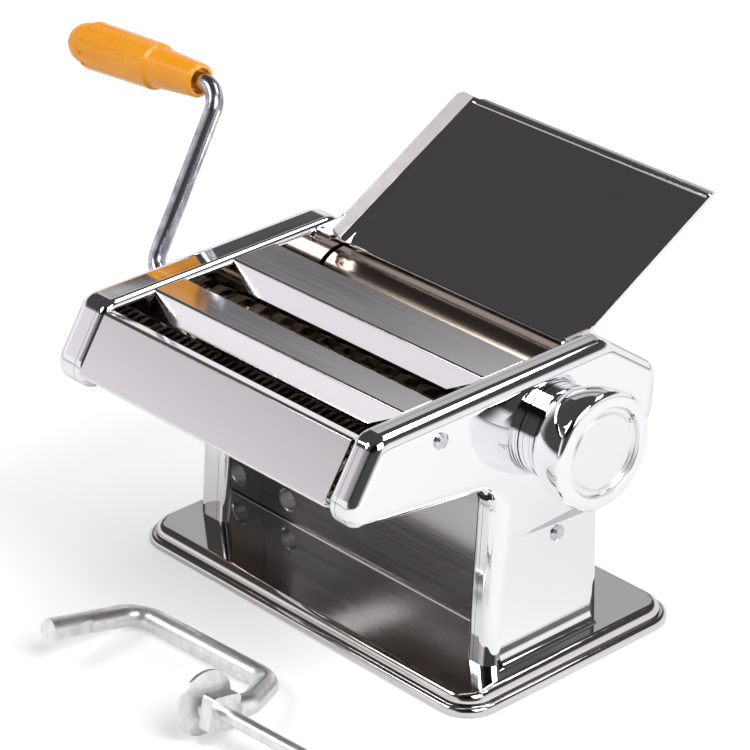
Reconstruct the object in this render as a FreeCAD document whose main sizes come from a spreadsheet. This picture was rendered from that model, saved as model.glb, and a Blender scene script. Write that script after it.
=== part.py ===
import FreeCAD, Part
import math
import os
import Sketcher

# Hand-cranked pasta machine. +X runs along the rollers to the thickness knob, -Y is the
# front with the cutters, +Z is up. The origin is under the middle of the base, on the table.

VALUES = {
    # Pressed sides: one outline in y and z for the frames and the covers.
    "side_gap": 156,
    "steel": 1.2,
    "frame_rim": 5,
    "side_seam": 0.2,
    "cover_rim": 9.4,
    "left_cover_rim": 13.8,
    "frame_edge_round": 3.4,
    "cover_edge_round": 6.5,
    "head_front_y": -94,
    "head_top_z": 137,
    "nose_y": -117,
    "nose_z": 102,
    "neck_y": -29,
    "neck_z": 91,
    "leg_front_y": -36.5,
    "leg_back_y": 29.5,
    "leg_back_top_z": 62,
    "back_low_y": 62,
    "back_low_z": 93,
    "back_high_y": 64,
    "back_high_z": 115,
    "head_back_y": 34,
    "head_round": 9.5,
    "neck_round": 12,
    "leg_back_round": 6,
    "swage_tip_y": -18,
    "swage_end_y": 18.2,
    "swage_z": 65.4,
    "swage_low": 2.8,
    "swage_high": 1.8,
    "swage_floor": 1.1,
    "swage_depth": 3,
    "swage_tip": 0.1,
    "foot_flare": 4,
    "foot_edge": 0.5,
    # Base tray on four rubber feet.
    "base_top_z": 9,
    "base_rim_z": 0.8,
    "base_rim_height": 3.4,
    "base_ledge": 12.7,
    "base_half_width": 60.1,
    "base_flange": 3.2,
    "base_corner": 13,
    "base_top_round": 4,
    "base_flange_round": 2.2,
    "base_steel": 1,
    "foot_radius": 9,
    "foot_chamfer": 1,
    "foot_inset_x": 17,
    "foot_inset_y": 15,
    # Smooth rollers and the eccentric axle that sets their gap.
    "roller_radius": 15.5,
    "roller_end_gap": 1.5,
    "roller_z": 106.8,
    "knob_y": 3.5,
    "eccentric": 1.15,
    "widest_gap": 2.6,
    "axle_radius": 5,
    "eccentric_land": 0.35,
    "eccentric_past_gear": 0.3,
    "axle_inset": 0.2,
    "axle_past": 0.3,
    "eccentric_inset": 0.5,
    "sleeve_inset": 0.2,
    "sleeve_wall": 2,
    "neck_wall": 2,
    "drive_journal": 6,
    # Cutters.
    "narrow_y": -79.5,
    "narrow_z": 110.6,
    "wide_y": -37.25,
    "wide_z": 111,
    "cutter_distance": 18,
    "ring_radius": 9.7,
    "core_radius": 7,
    "cutter_journal": 4,
    "narrow_pitch": 4.5,
    "narrow_ring": 2,
    "narrow_finger": 1.4,
    "wide_pitch": 13,
    "wide_ring": 6.2,
    "wide_finger": 4.6,
    "comb_bar": 4,
    "comb_sheet": 1.6,
    "comb_gap": 1.2,
    "comb_finger_gap": 0.4,
    "comb_root": 0.2,
    "comb_lean": 45,
    # Gears: the teeth are given in modules.
    "roller_teeth": 14,
    "roller_tooth": 0.755,
    "roller_addendum": 0.55,
    "roller_dedendum": 1.48,
    "cutter_teeth": 12,
    "cutter_tooth": 1.133,
    "cutter_addendum": 0.867,
    "cutter_dedendum": 1.2,
    "roller_gear_width": 6.3,
    "cutter_gear_width": 4.5,
    "gear_start": 4,
    "flank_slope": 0.36,
    "tooth_foot": 0.2,
    # Crank sockets.
    "socket_radius": 6.5,
    "socket_bore": 4.25,
    "socket_stub": 2.4,
    "socket_depth": 23.4,
    "socket_mouth": 17.4,
    "socket_inner": 4.1,
    "cross_pin": 1.4,
    "cross_pin_x": 2,
    "cross_pin_inset": 0.3,
    "socket_window": 8,
    # Clearances.
    "running": 0.05,
    "snug": 0.02,
    "sheet_clear": 0.1,
    "bush_wall": 2,
    "bush_out": 2,
    "bush_in": 0.3,
    "cover_bush_in": 1,
    "window_gap": 0.5,
    "journal_past": 0.5,
    "gear_past": 0.4,
    # Sheet parts between the sides.
    "panel_steel": 0.8,
    "bend_round": 0.7,
    "panel_top_y": -95.8,
    "panel_top_z": 134.2,
    "panel_low_y": -112.2,
    "panel_low_z": 109.8,
    "panel_lip_y": 3.3,
    "panel_lip_z": 3,
    "panel_toe_y": 5.2,
    "panel_toe_z": 2.6,
    "hood_top_z": 136,
    "hood_back_z": 135.5,
    "hood_foot_z": 126.7,
    "front_hood_y": -68.8,
    "front_hood_foot_y": -73.9,
    "front_hood_back_y": -52.7,
    "rear_hood_y": -25.1,
    "rear_hood_foot_y": -30.5,
    "rear_hood_back_y": -1.7,
    "hood_notch": 19,
    "hood_notch_gap": 0.3,
    "stand_y": -13.5,
    "stand_top_z": 86,
    "stand_flange": 10,
    "rear_low_y": 61.5,
    "rear_low_z": 96,
    "rear_bend_y": 61,
    "rear_bend_z": 114.6,
    "rear_rest": 9.5,
    "scraper_length": 7.8,
    "scraper_gap": 0.3,
    "drive_scraper_angle": -50,
    "adjust_scraper_angle": 230,
    # Ties, screws and the clamp socket.
    "tie_radius": 2.5,
    "tie_nut_radius": 3.8,
    "tie_nut_width": 3,
    "tie_past": 0.4,
    "front_tie_y": -102,
    "front_tie_z": 108,
    "middle_tie_y": 6,
    "middle_tie_z": 77,
    "back_tie_y": 39,
    "back_tie_z": 81.5,
    "screw_radius": 1.6,
    "screw_head": 3.6,
    "screw_head_height": 1.6,
    "screw_head_edge": 0.64,
    "screw_head_top": 2.2,
    "screw_tail_gap": 0.2,
    "upper_screw_y": -61.9,
    "upper_screw_z": 126,
    "lower_screw_y": 3.1,
    "lower_screw_z": 59,
    "leg_screw_y": 22,
    "leg_screw_shift": -4,
    "leg_screw_past": 1.5,
    "leg_screw_head": 3.2,
    "clamp_hole_x": -61,
    "clamp_hole_z": 19,
    "clamp_hole": 5.3,
    "clamp_hole_ease": 0.3,
    "clamp_socket_wall": 2.2,
    "clamp_socket_length": 25,
    # Thickness knob.
    "index_gap": 0.1,
    "index_width": 2.3,
    "index_radius": 20.4,
    "index_track": 14,
    "index_pin": 1.5,
    "track_half": 2,
    "track_depth": 1.5,
    "index_pin_gap": 0.3,
    "knob_gap": 0.4,
    "knob_length": 24.2,
    "knob_root": 20.8,
    "knob_groove": 0.7,
    "knob_groove_width": 0.8,
    "first_groove": 0.9,
    "second_groove": 2.7,
    "knob_foot": 4.2,
    "knob_middle_x": 11,
    "knob_waist": 21.7,
    "knob_middle": 24.5,
    "knob_rim": 26,
    "knob_front": 23.6,
    "knob_rim_back": 3,
    "knob_lip_back": 0.9,
    "knob_lip": 25.3,
    "knob_hub": 7,
    "knob_hollow": 18.6,
    "knob_disc": 20,
    "knob_disc_sheet": 1.7,
    "knob_recess": 1.4,
    "face_ring": 16.6,
    "face_ring_half": 0.7,
    "face_ring_depth": 0.5,
    "disc_edge": 0.5,
    "disc_edge_width": 1.2,
    "knob_washer": 8.5,
    "knob_washer_sheet": 1.2,
    "spring_radius": 7,
    "spring_wire": 0.5,
    "spring_turns": 3.5,
    "spring_length": 9.4,
    # Dough tray.
    "tray_slope": 28.6,
    "tray_pivot_y": 24.9,
    "tray_pivot_z": 132,
    "tray_start": 7.5,
    "tray_drop": 12.3,
    "tray_length": 92.5,
    "tray_side_gap": 0.4,
    "tray_steel": 1,
    "tray_bend": 2.6,
    "tray_brow_drop": 4.5,
    "tray_brow_out": 1,
    "tray_brow_round": 3,
    "tray_flange_drop": 1.5,
    "tray_flange_back": 4,
    "tray_flange_round": 4,
    "tray_ear": 5,
    "tray_ear_reach": 12,
    "tray_pin": 2,
    "tray_pin_past": 1,
    "tray_pin_head": 3.2,
    "tray_pin_head_sheet": 1.2,
    # Crank.
    "crank_radius": 4,
    "crank_seat": 1,
    "crank_slot": 1.7,
    "crank_slot_gap": 0.3,
    "crank_plane": 36,
    "crank_throw": 88,
    "crank_lean": 30.5,
    "crank_bend": 11,
    "spindle_short": 6,
    "grip_tilt": 3.3,
    "grip_start": 14,
    "grip_recess": 5.9,
    "grip_recess_depth": 3,
    "grip_near": 7.75,
    "grip_chamfer": 0.8,
    "grip_step": 28,
    "grip_neck": 9.4,
    "grip_body": 46,
    "grip_low": 10.75,
    "grip_high": 11.3,
    "grip_end": 14,
    "grip_end_radius": 9.5,
    "grip_shoulder": 1.2,
    "grip_end_step": 0.4,
    "grip_butt_x": 10.1,
    "grip_butt": 7.4,
    "grip_tip": 2.8,
    "grip_washer_room": 3,
    "grip_washer_gap": 0.4,
    "grip_washer_x": 0.9,
    "flute_radius": 1.6,
    "flute_lift": 0.95,
    "flute_end": 2,
    "flutes": 12,
    "grip_washer": 5.6,
    "grip_washer_sheet": 1.2,
    # Table clamp, lying in front of the machine.
    "clamp_x": -49,
    "clamp_y": -108.5,
    "clamp_z": 5.2,
    "clamp_yaw": 3,
    "clamp_tilt": 13.5,
    "clamp_rod": 5,
    "clamp_bend": 12,
    "clamp_jaw": 50,
    "clamp_jaw_lean": 2,
    "clamp_back": 82,
    "clamp_rise": 24,
    "clamp_flare": 12.5,
    "clamp_rod_top": 33,
    "clamp_notch": 14,
    "clamp_notch_length": 6,
    "clamp_notch_depth": 1.2,
    "clamp_notch_lean": 1,
    "clamp_notch_past": 2,
    "nut_plate": 6,
    "nut_half_width": 8,
    "nut_height": 16,
    "nut_corner": 2.5,
    "clamp_screw": 3.2,
    "clamp_screw_length": 78,
    "clamp_head": 5,
    "clamp_head_length": 11,
    "pad_radius": 14.4,
    "pad_dish": 2.6,
    "pad_sheet": 1.4,
    "pad_hub": 5,
    "pad_hub_length": 2.6,
    "pad_cup": 0.6,
    "pad_crown": 0.2,
    "pad_fillet": 1,
    "pad_back_gap": 2,
    "crossbar": 2.5,
    "crossbar_length": 50,
}


class Size:
    """A size and the sheet formula that gives it."""

    def __init__(self, value, formula):
        self.value = value
        self.formula = formula

    def __add__(self, other):
        other = as_size(other)
        return Size(self.value + other.value, f"({self.formula} + {other.formula})")

    def __sub__(self, other):
        other = as_size(other)
        return Size(self.value - other.value, f"({self.formula} - {other.formula})")

    def __mul__(self, other):
        other = as_size(other)
        return Size(self.value * other.value, f"({self.formula} * {other.formula})")

    def __truediv__(self, other):
        other = as_size(other)
        return Size(self.value / other.value, f"({self.formula} / {other.formula})")

    def __neg__(self):
        return Size(-self.value, f"(0 - {self.formula})")

    def __rsub__(self, other):
        return as_size(other) - self

    __radd__ = __add__
    __rmul__ = __mul__


class Through(tuple):
    """A point that an arc passes through between two corners."""


def as_size(size):
    if isinstance(size, Size):
        return size
    return Size(float(size), f"({float(size)!r})")


def cosine(angle):
    angle = as_size(angle)
    return Size(math.cos(math.radians(angle.value)), f"cos({angle.formula} * 1 deg)")


def sine(angle):
    angle = as_size(angle)
    return Size(math.sin(math.radians(angle.value)), f"sin({angle.formula} * 1 deg)")


def whole(size):
    return Size(math.floor(size.value), f"floor({size.formula})")


def bind(thing, prop, size):
    thing.setExpression(prop, as_size(size).formula)


def require(truth, message):
    if not truth:
        raise RuntimeError(message)


os.makedirs("parts", exist_ok=True)
doc = FreeCAD.newDocument("pasta_machine")
sheet = doc.addObject("Spreadsheet::Sheet", "Sizes")
for row, (alias, number) in enumerate(VALUES.items(), 1):
    sheet.set(f"A{row}", alias)
    sheet.set(f"B{row}", str(number))
    sheet.setAlias(f"B{row}", alias)
doc.recompute()


class Named:
    """Sizes by name, each bound to its cell."""


mm = Named()
for alias, number in VALUES.items():
    setattr(mm, alias, Size(float(number), f"Sizes.{alias}"))

NUT_SIDES = 6
CORE_SIDES = 6
RING_SIDES = 10

nodes = []
X_AXIS = (1, 0, 0)
Y_AXIS = (0, 1, 0)
Z_AXIS = (0, 0, 1)


# Placing, sketching and shaping.

def step(x=0, y=0, z=0, axis=X_AXIS, angle=0):
    """One move and turn of a placement, as a formula."""
    spot = "; ".join(as_size(part).formula for part in (x, y, z))
    line = "; ".join(str(part) for part in axis)
    return f"placement(vector({spot}); rotation(vector({line}); {as_size(angle).formula}))"


def new_body(label, *steps):
    body = doc.addObject("PartDesign::Body", label)
    body.Label = label
    if steps:
        body.setExpression("Placement", " * ".join(steps))
    return body


def keep(thing):
    nodes.append(thing)
    return thing


def group(label, members):
    """Separate solids that share one node."""
    thing = doc.addObject("Part::Compound", label)
    thing.Label = label
    thing.Links = members
    return keep(thing)


def origin_part(body, role):
    return next(part for part in body.Origin.OriginFeatures if part.Role == role)


def new_sketch(body, plane, offset=0):
    sketch = body.newObject("Sketcher::SketchObject", f"{body.Label}_sketch")
    sketch.AttachmentSupport = [(origin_part(body, plane), "")]
    sketch.MapMode = "FlatFace"
    bind(sketch, "AttachmentOffset.Base.z", offset)
    return sketch


def flat(a, b):
    return FreeCAD.Vector(as_size(a).value, as_size(b).value, 0)


def dimension(sketch, constraint, size):
    index = sketch.addConstraint(constraint)
    bind(sketch, f"Constraints[{index}]", size)


def pin(sketch, geometry, end, a, b):
    """Tie a point of a sketch to its two sizes."""
    for kind, axis, size in (("DistanceX", -2, as_size(a)), ("DistanceY", -1, as_size(b))):
        if size.formula == "(0.0)":
            sketch.addConstraint(Sketcher.Constraint("PointOnObject", geometry, end, axis))
        else:
            dimension(sketch, Sketcher.Constraint(kind, -1, 1, geometry, end, size.value), size)


def outline(sketch, points):
    """Closed outline of lines, and of arcs where a Through point stands between two corners."""
    corners = [point for point in points if not isinstance(point, Through)]
    edges = []
    for index, point in enumerate(points):
        if isinstance(point, Through):
            continue
        after = points[(index + 1) % len(points)]
        if isinstance(after, Through):
            end = points[(index + 2) % len(points)]
            curve = Part.Arc(flat(*point), flat(*after), flat(*end))
            edge = sketch.addGeometry(curve, False)
            first = flat(*point)
            start = 1 if sketch.getPoint(edge, 1).distanceToPoint(first) < 1e-6 else 2
            mark = sketch.addGeometry(Part.Point(flat(*after)), True)
            pin(sketch, mark, 1, *after)
            sketch.addConstraint(Sketcher.Constraint("PointOnObject", mark, 1, edge))
        else:
            edge = sketch.addGeometry(Part.LineSegment(flat(*point), flat(*after)), False)
            start = 1
        edges.append((edge, start))
    for index, (edge, start) in enumerate(edges):
        following, begin = edges[(index + 1) % len(edges)]
        sketch.addConstraint(Sketcher.Constraint("Coincident", edge, 3 - start, following, begin))
        pin(sketch, edge, start, *corners[index])


def regular(sides, radius):
    """Corners of a regular outline."""
    turns = [math.tau * k / sides for k in range(sides)]
    return [(radius * math.cos(turn), radius * math.sin(turn)) for turn in turns]


def circle(sketch, a, b, radius):
    radius = as_size(radius)
    ring = Part.Circle(flat(a, b), FreeCAD.Vector(0, 0, 1), radius.value)
    geometry = sketch.addGeometry(ring, False)
    pin(sketch, geometry, 3, a, b)
    dimension(sketch, Sketcher.Constraint("Radius", geometry, radius.value), radius)


def feature(body, kind, sketch=None):
    made = body.newObject(f"PartDesign::{kind}", f"{body.Label}_{kind}")
    if sketch is not None:
        made.Profile = sketch
    return made


def pad(body, sketch, length, both_ways=False):
    made = feature(body, "Pad", sketch)
    bind(made, "Length", length)
    if both_ways:
        made.SideType = "Symmetric"
    doc.recompute()
    return made


def cut(body, sketch, depth=None, backwards=False):
    """Pocket of a set depth, or right through both ways."""
    before = body.Shape.Volume
    made = feature(body, "Pocket", sketch)
    if depth is None:
        made.SideType = "Symmetric"
        made.Type = "ThroughAll"
    else:
        bind(made, "Length", depth)
        made.Reversed = backwards
    doc.recompute()
    require(body.Shape.Volume < before - 1e-3, f"a cut in {body.Label} takes nothing away")
    return made


def revolve(body, profile):
    """Solid of revolution about the body's own X axis, from (x, radius) corners."""
    sketch = new_sketch(body, "XY_Plane")
    outline(sketch, profile)
    made = feature(body, "Revolution", sketch)
    made.ReferenceAxis = (sketch, ["H_Axis"])
    made.Angle = 360
    doc.recompute()
    return made


def turned(label, profile, *steps):
    body = new_body(label, *steps)
    revolve(body, profile)
    return body


def tube(label, start, end, inner, outer, *steps):
    return turned(label, [(start, inner), (start, outer), (end, outer), (end, inner)], *steps)


def round_edges(body, chosen, radius):
    base = body.Tip
    names = [f"Edge{n}" for n, edge in enumerate(base.Shape.Edges, 1) if chosen(edge)]
    require(names, f"no edge to round on {body.Label}")
    made = feature(body, "Fillet")
    made.Base = (base, names)
    bind(made, "Radius", radius)
    doc.recompute()
    return made


def hollow(body, opened, wall):
    """Leave a wall inside the skin, open at the chosen faces."""
    base = body.Tip
    names = [f"Face{n}" for n, face in enumerate(base.Shape.Faces, 1) if opened(face)]
    made = feature(body, "Thickness")
    made.Base = (base, names)
    bind(made, "Value", wall)
    made.Reversed = True
    doc.recompute()
    return made


def runs_along(edge, axis):
    """True for a straight edge along X, Y or Z."""
    box = edge.BoundBox
    lengths = [box.XLength, box.YLength, box.ZLength]
    return lengths[axis] > 1e-3 and sum(lengths) - lengths[axis] < 1e-4


def along_x_at(points):
    """Chooses the edges that run along X through any of the (y, z) points."""
    spots = [(as_size(y).value, as_size(z).value) for y, z in points]

    def chosen(edge):
        middle = edge.BoundBox.Center
        near = any(math.hypot(middle.y - y, middle.z - z) < 1e-2 for y, z in spots)
        return near and runs_along(edge, 0)

    return chosen


def repeat_along(body, shape, pitch, count):
    made = feature(body, "LinearPattern")
    made.Originals = [shape]
    made.Direction = (origin_part(body, "X_Axis"), [""])
    bind(made, "Length", pitch * (count - 1))
    bind(made, "Occurrences", count)
    body.Tip = made
    doc.recompute()
    return made


def repeat_round(body, shape, count):
    made = feature(body, "PolarPattern")
    made.Originals = [shape]
    made.Axis = (origin_part(body, "X_Axis"), [""])
    made.Angle = 360
    bind(made, "Occurrences", count)
    body.Tip = made
    doc.recompute()
    return made


def bent_profile(sketch, path, thickness):
    """Outline of a folded sheet: the path is its outer face, the sheet lies on the path's left."""
    spots = [flat(*point) for point in path]
    rights = [(after - before).normalize() for before, after in zip(spots, spots[1:])]
    lefts = [FreeCAD.Vector(-way.y, way.x, 0) for way in rights]
    inner = []
    for index, spot in enumerate(spots):
        first = lefts[max(index - 1, 0)]
        second = lefts[min(index, len(lefts) - 1)]
        mitre = (first + second) * (thickness.value / (1 + first.dot(second)))
        inner.append(spot + mitre)
    loop = spots + inner[::-1]
    lines = []
    for index, spot in enumerate(loop):
        line = Part.LineSegment(spot, loop[(index + 1) % len(loop)])
        lines.append(sketch.addGeometry(line, False))
    for index, line in enumerate(lines):
        following = lines[(index + 1) % len(lines)]
        sketch.addConstraint(Sketcher.Constraint("Coincident", line, 2, following, 1))
    for index, point in enumerate(path):
        pin(sketch, lines[index], 1, *point)
    folds = len(path) - 1
    for index in range(folds):
        outer_line = lines[index]
        inner_line = lines[2 * folds - index]
        sketch.addConstraint(Sketcher.Constraint("Parallel", outer_line, inner_line))
        gap = Sketcher.Constraint("Distance", inner_line, 1, outer_line, thickness.value)
        dimension(sketch, gap, thickness)
    sketch.addConstraint(Sketcher.Constraint("Perpendicular", lines[folds], lines[folds - 1]))
    sketch.addConstraint(Sketcher.Constraint("Perpendicular", lines[-1], lines[0]))
    bends = []
    for index in range(1, folds):
        turn = rights[index - 1].cross(rights[index]).z
        outer_spot = (spots[index].x, spots[index].y)
        inner_spot = (inner[index].x, inner[index].y)
        bends.append((outer_spot, inner_spot) if turn > 0 else (inner_spot, outer_spot))
    return bends


def bent_sheet(body, path, thickness, width):
    """Folded sheet across the machine, with rounded bends."""
    sketch = new_sketch(body, "YZ_Plane")
    bends = bent_profile(sketch, path, thickness)
    pad(body, sketch, width, both_ways=True)
    round_edges(body, along_x_at([outside for outside, inside in bends]), mm.bend_round + thickness)
    round_edges(body, along_x_at([inside for outside, inside in bends]), mm.bend_round)
    return body


def rounded_path(sketch, corners, radius):
    """Open path of straight runs joined by tangent arcs, its corners pinned to their sizes."""
    radius = as_size(radius)
    spots = [flat(*corner) for corner in corners]
    ways = [(after - before).normalize() for before, after in zip(spots, spots[1:])]
    starts = [spots[0]]
    ends = []
    arcs = []
    for index in range(1, len(spots) - 1):
        before = ways[index - 1]
        after = ways[index]
        half_turn = before.getAngle(after) / 2
        reach = radius.value * math.tan(half_turn)
        first = spots[index] - before * reach
        last = spots[index] + after * reach
        inward = (after - before).normalize()
        centre = spots[index] + inward * (radius.value / math.cos(half_turn))
        middle = centre - inward * radius.value
        ends.append(first)
        starts.append(last)
        arcs.append(Part.Arc(first, middle, last))
    ends.append(spots[-1])
    runs = [sketch.addGeometry(Part.LineSegment(a, b), False) for a, b in zip(starts, ends)]
    bends = [sketch.addGeometry(arc, False) for arc in arcs]
    pin(sketch, runs[0], 1, *corners[0])
    pin(sketch, runs[-1], 2, *corners[-1])
    for index, bend in enumerate(bends):
        near = 1 if sketch.getPoint(bend, 1).distanceToPoint(ends[index]) < 1e-6 else 2
        sketch.addConstraint(Sketcher.Constraint("Tangent", runs[index], 2, bend, near))
        sketch.addConstraint(Sketcher.Constraint("Tangent", bend, 3 - near, runs[index + 1], 1))
        dimension(sketch, Sketcher.Constraint("Radius", bend, radius.value), radius)
        mark = sketch.addGeometry(Part.Point(spots[index + 1]), True)
        pin(sketch, mark, 1, *corners[index + 1])
        sketch.addConstraint(Sketcher.Constraint("PointOnObject", mark, 1, runs[index]))
        sketch.addConstraint(Sketcher.Constraint("PointOnObject", mark, 1, runs[index + 1]))


def sweep(body, section, path):
    made = feature(body, "AdditivePipe", section)
    made.Spine = path
    doc.recompute()
    return made


# Shared stations along X.

half_gap = mm.side_gap / 2
plate_out = half_gap + mm.steel
frame_open = half_gap + mm.frame_rim
cover_near = frame_open + mm.side_seam
cover_far = cover_near + mm.cover_rim
left_far = cover_near + mm.left_cover_rim
left_inside = left_far - mm.steel
panel_half = half_gap - mm.sheet_clear
roller_half = half_gap - mm.roller_end_gap
gear_near = plate_out + mm.gear_start
roller_gear_far = gear_near + mm.roller_gear_width
cutter_gear_far = gear_near + mm.cutter_gear_width
bush_far = plate_out + mm.bush_out
bush_near = half_gap - mm.bush_in
socket_end = left_far + mm.socket_stub
socket_floor = socket_end - mm.socket_depth
socket_neck = socket_end - mm.socket_mouth
cross_pin_x = half_gap + mm.cross_pin_x

# Axes of everything that turns, in y and z.

rest_y = mm.knob_y - mm.eccentric
drive_y = rest_y + mm.roller_radius * 2 + mm.widest_gap
roller_pitch = (drive_y - mm.knob_y) / 2
cutter_pitch = mm.cutter_distance / 2
narrow_front = (mm.narrow_y - cutter_pitch, mm.narrow_z)
narrow_rear = (mm.narrow_y + cutter_pitch, mm.narrow_z)
wide_front = (mm.wide_y - cutter_pitch, mm.wide_z)
wide_rear = (mm.wide_y + cutter_pitch, mm.wide_z)
drive_axis = (drive_y, mm.roller_z)
knob_axis = (mm.knob_y, mm.roller_z)
rest_axis = (rest_y, mm.roller_z)
driven_axes = [drive_axis, wide_rear, narrow_rear]
idle_axes = [wide_front, narrow_front]
cutter_axes = [wide_rear, wide_front, narrow_rear, narrow_front]
ties = [
    (mm.front_tie_y, mm.front_tie_z),
    (mm.middle_tie_y, mm.middle_tie_z),
    (mm.back_tie_y, mm.back_tie_z),
]
cover_screw_spots = [
    (mm.upper_screw_y, mm.upper_screw_z),
    (mm.lower_screw_y, mm.lower_screw_z),
]
tray_pivot = (mm.tray_pivot_y, mm.tray_pivot_z)
eccentric_radius = mm.axle_radius + mm.eccentric + mm.eccentric_land
sleeve_radius = eccentric_radius + mm.sleeve_wall
neck_radius = sleeve_radius + mm.neck_wall


def on_axis(axis):
    return step(0, axis[0], axis[1])


# Pressed side frames and covers.

side_corners = [
    (mm.head_front_y, mm.head_top_z),
    (mm.nose_y, mm.nose_z),
    (mm.neck_y, mm.neck_z),
    (mm.leg_front_y, mm.base_top_z),
    (mm.leg_back_y, mm.base_top_z),
    (mm.leg_back_y, mm.leg_back_top_z),
    (mm.back_low_y, mm.back_low_z),
    (mm.back_high_y, mm.back_high_z),
    (mm.head_back_y, mm.head_top_z),
]
head_corners = [side_corners[0], side_corners[1], side_corners[7]]
neck_corners = [side_corners[2], side_corners[6], side_corners[8]]


def pressed_side(label, near, far, rounded, opened, edge_round):
    """Dished pressing of the side outline, rounded at one x and open at the other."""
    body = new_body(label)
    sketch = new_sketch(body, "YZ_Plane", near)
    outline(sketch, side_corners)
    pad(body, sketch, far - near)
    round_edges(body, along_x_at(head_corners), mm.head_round)
    round_edges(body, along_x_at(neck_corners), mm.neck_round)
    round_edges(body, along_x_at([side_corners[5]]), mm.leg_back_round)

    def on_rounded_face(edge):
        box = edge.BoundBox
        on_face = box.XLength < 1e-4 and abs(box.XMin - rounded.value) < 1e-4
        return on_face and box.ZMax > mm.base_top_z.value + 1e-3

    def on_open_face(face):
        box = face.BoundBox
        return box.XLength < 1e-4 and abs(box.XMin - opened.value) < 1e-4

    round_edges(body, on_rounded_face, edge_round)
    hollow(body, on_open_face, mm.steel)
    return body


def punch(body, holes):
    """Round holes through a pressing, from (y, z, radius)."""
    sketch = new_sketch(body, "YZ_Plane")
    for y, z, radius in holes:
        circle(sketch, y, z, radius)
    cut(body, sketch)


def bush_hole(axis, journal):
    return (axis[0], axis[1], journal + mm.bush_wall + mm.snug)


left_frame = pressed_side("left_frame", -frame_open, -half_gap, -half_gap, -frame_open, mm.frame_edge_round)
right_frame = pressed_side("right_frame", half_gap, frame_open, half_gap, frame_open, mm.frame_edge_round)
left_cover = pressed_side("left_cover", -left_far, -cover_near, -left_far, -cover_near, mm.cover_edge_round)
right_cover = pressed_side("right_cover", cover_near, cover_far, cover_far, cover_near, mm.cover_edge_round)
shared_holes = [(y, z, mm.tie_radius + mm.snug) for y, z in ties]
shared_holes += [(y, z, mm.screw_radius + mm.snug) for y, z in cover_screw_spots]
shared_holes.append((*tray_pivot, mm.tray_pin + mm.snug))
roller_window = neck_radius + mm.eccentric + mm.window_gap
punch(left_frame, shared_holes
      + [bush_hole(axis, mm.socket_radius) for axis in driven_axes]
      + [bush_hole(axis, mm.cutter_journal) for axis in idle_axes]
      + [(*knob_axis, roller_window)])
punch(right_frame, shared_holes
      + [bush_hole(axis, mm.cutter_journal) for axis in cutter_axes]
      + [bush_hole(drive_axis, mm.drive_journal), bush_hole(knob_axis, mm.axle_radius)])
screw_holes = [(y, z, mm.screw_radius + mm.snug) for y, z in cover_screw_spots]
punch(left_cover, screw_holes
      + [(y, z, mm.socket_window) for y, z in driven_axes]
      + [bush_hole(knob_axis, mm.axle_radius)])
punch(right_cover, screw_holes + [(*knob_axis, mm.axle_radius + mm.bush_wall)])


def loft(body, kind, sections):
    made = feature(body, kind, sections[0])
    made.Sections = sections[1:]
    made.Ruled = True
    doc.recompute()
    return made


def swage(cover, side, far):
    """Drop-shaped press mark across the leg: the sheet dips in under a steep upper edge."""
    half_steel = mm.steel / 2
    backs = []
    grooves = []
    for y, share in ((mm.swage_tip_y, mm.swage_tip), (mm.swage_end_y, 1)):
        low = mm.swage_z - mm.swage_low * share
        high = mm.swage_z + mm.swage_high * share
        floor = mm.swage_z + mm.swage_floor * share
        deep = far - mm.swage_depth * share
        back = new_sketch(cover, "XZ_Plane", -y)
        outline(back, [
            (side * (far - half_steel), low - mm.steel),
            (side * (deep - mm.steel), floor),
            (side * (far - half_steel), high + mm.steel),
        ])
        backs.append(back)
        groove = new_sketch(cover, "XZ_Plane", -y)
        outline(groove, [
            (side * (far + half_steel), low),
            (side * far, low),
            (side * deep, floor),
            (side * far, high),
            (side * (far + half_steel), high),
        ])
        grooves.append(groove)
    loft(cover, "AdditiveLoft", backs)
    loft(cover, "SubtractiveLoft", grooves)


def flared_foot(cover, side, far):
    """Concave foot along the bottom of a cover's leg, out over the base."""
    hollow_share = 1 - math.sqrt(0.5)
    edge_z = mm.base_top_z + mm.foot_edge
    back_y = mm.leg_back_y - mm.cover_edge_round
    front_y = mm.leg_front_y + mm.cover_edge_round
    sketch = new_sketch(cover, "XZ_Plane", -back_y)
    outline(sketch, [
        (side * far, edge_z + mm.foot_flare),
        Through((side * (far + mm.foot_flare * hollow_share), edge_z + mm.foot_flare * hollow_share)),
        (side * (far + mm.foot_flare), edge_z),
        (side * (far + mm.foot_flare), mm.base_top_z),
        (side * (far - mm.steel / 2), mm.base_top_z),
        (side * (far - mm.steel / 2), edge_z + mm.foot_flare),
    ])
    pad(cover, sketch, back_y - front_y)


for cover, side, far in ((left_cover, -1, left_far), (right_cover, 1, cover_far)):
    swage(cover, side, far)
    flared_foot(cover, side, far)


# Base tray with a stepped rim, its rubber feet and the screws into the legs.

base_half_length = cover_far + mm.base_ledge
flange_half_length = base_half_length + mm.base_flange
flange_half_width = mm.base_half_width + mm.base_flange
base_under_z = mm.base_top_z - mm.base_steel
flange_top_z = mm.base_rim_z + mm.base_rim_height


def slab(body, half_length, half_width, bottom, height):
    sketch = new_sketch(body, "XY_Plane", bottom)
    outline(sketch, [
        (-half_length, -half_width),
        (half_length, -half_width),
        (half_length, half_width),
        (-half_length, half_width),
    ])
    pad(body, sketch, height)


def upright(low, high):
    """Chooses upright edges that stay between two heights."""
    def chosen(edge):
        box = edge.BoundBox
        inside = box.ZMin > low.value - 1e-3 and box.ZMax < high.value + 1e-3
        return inside and runs_along(edge, 2)
    return chosen


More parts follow.
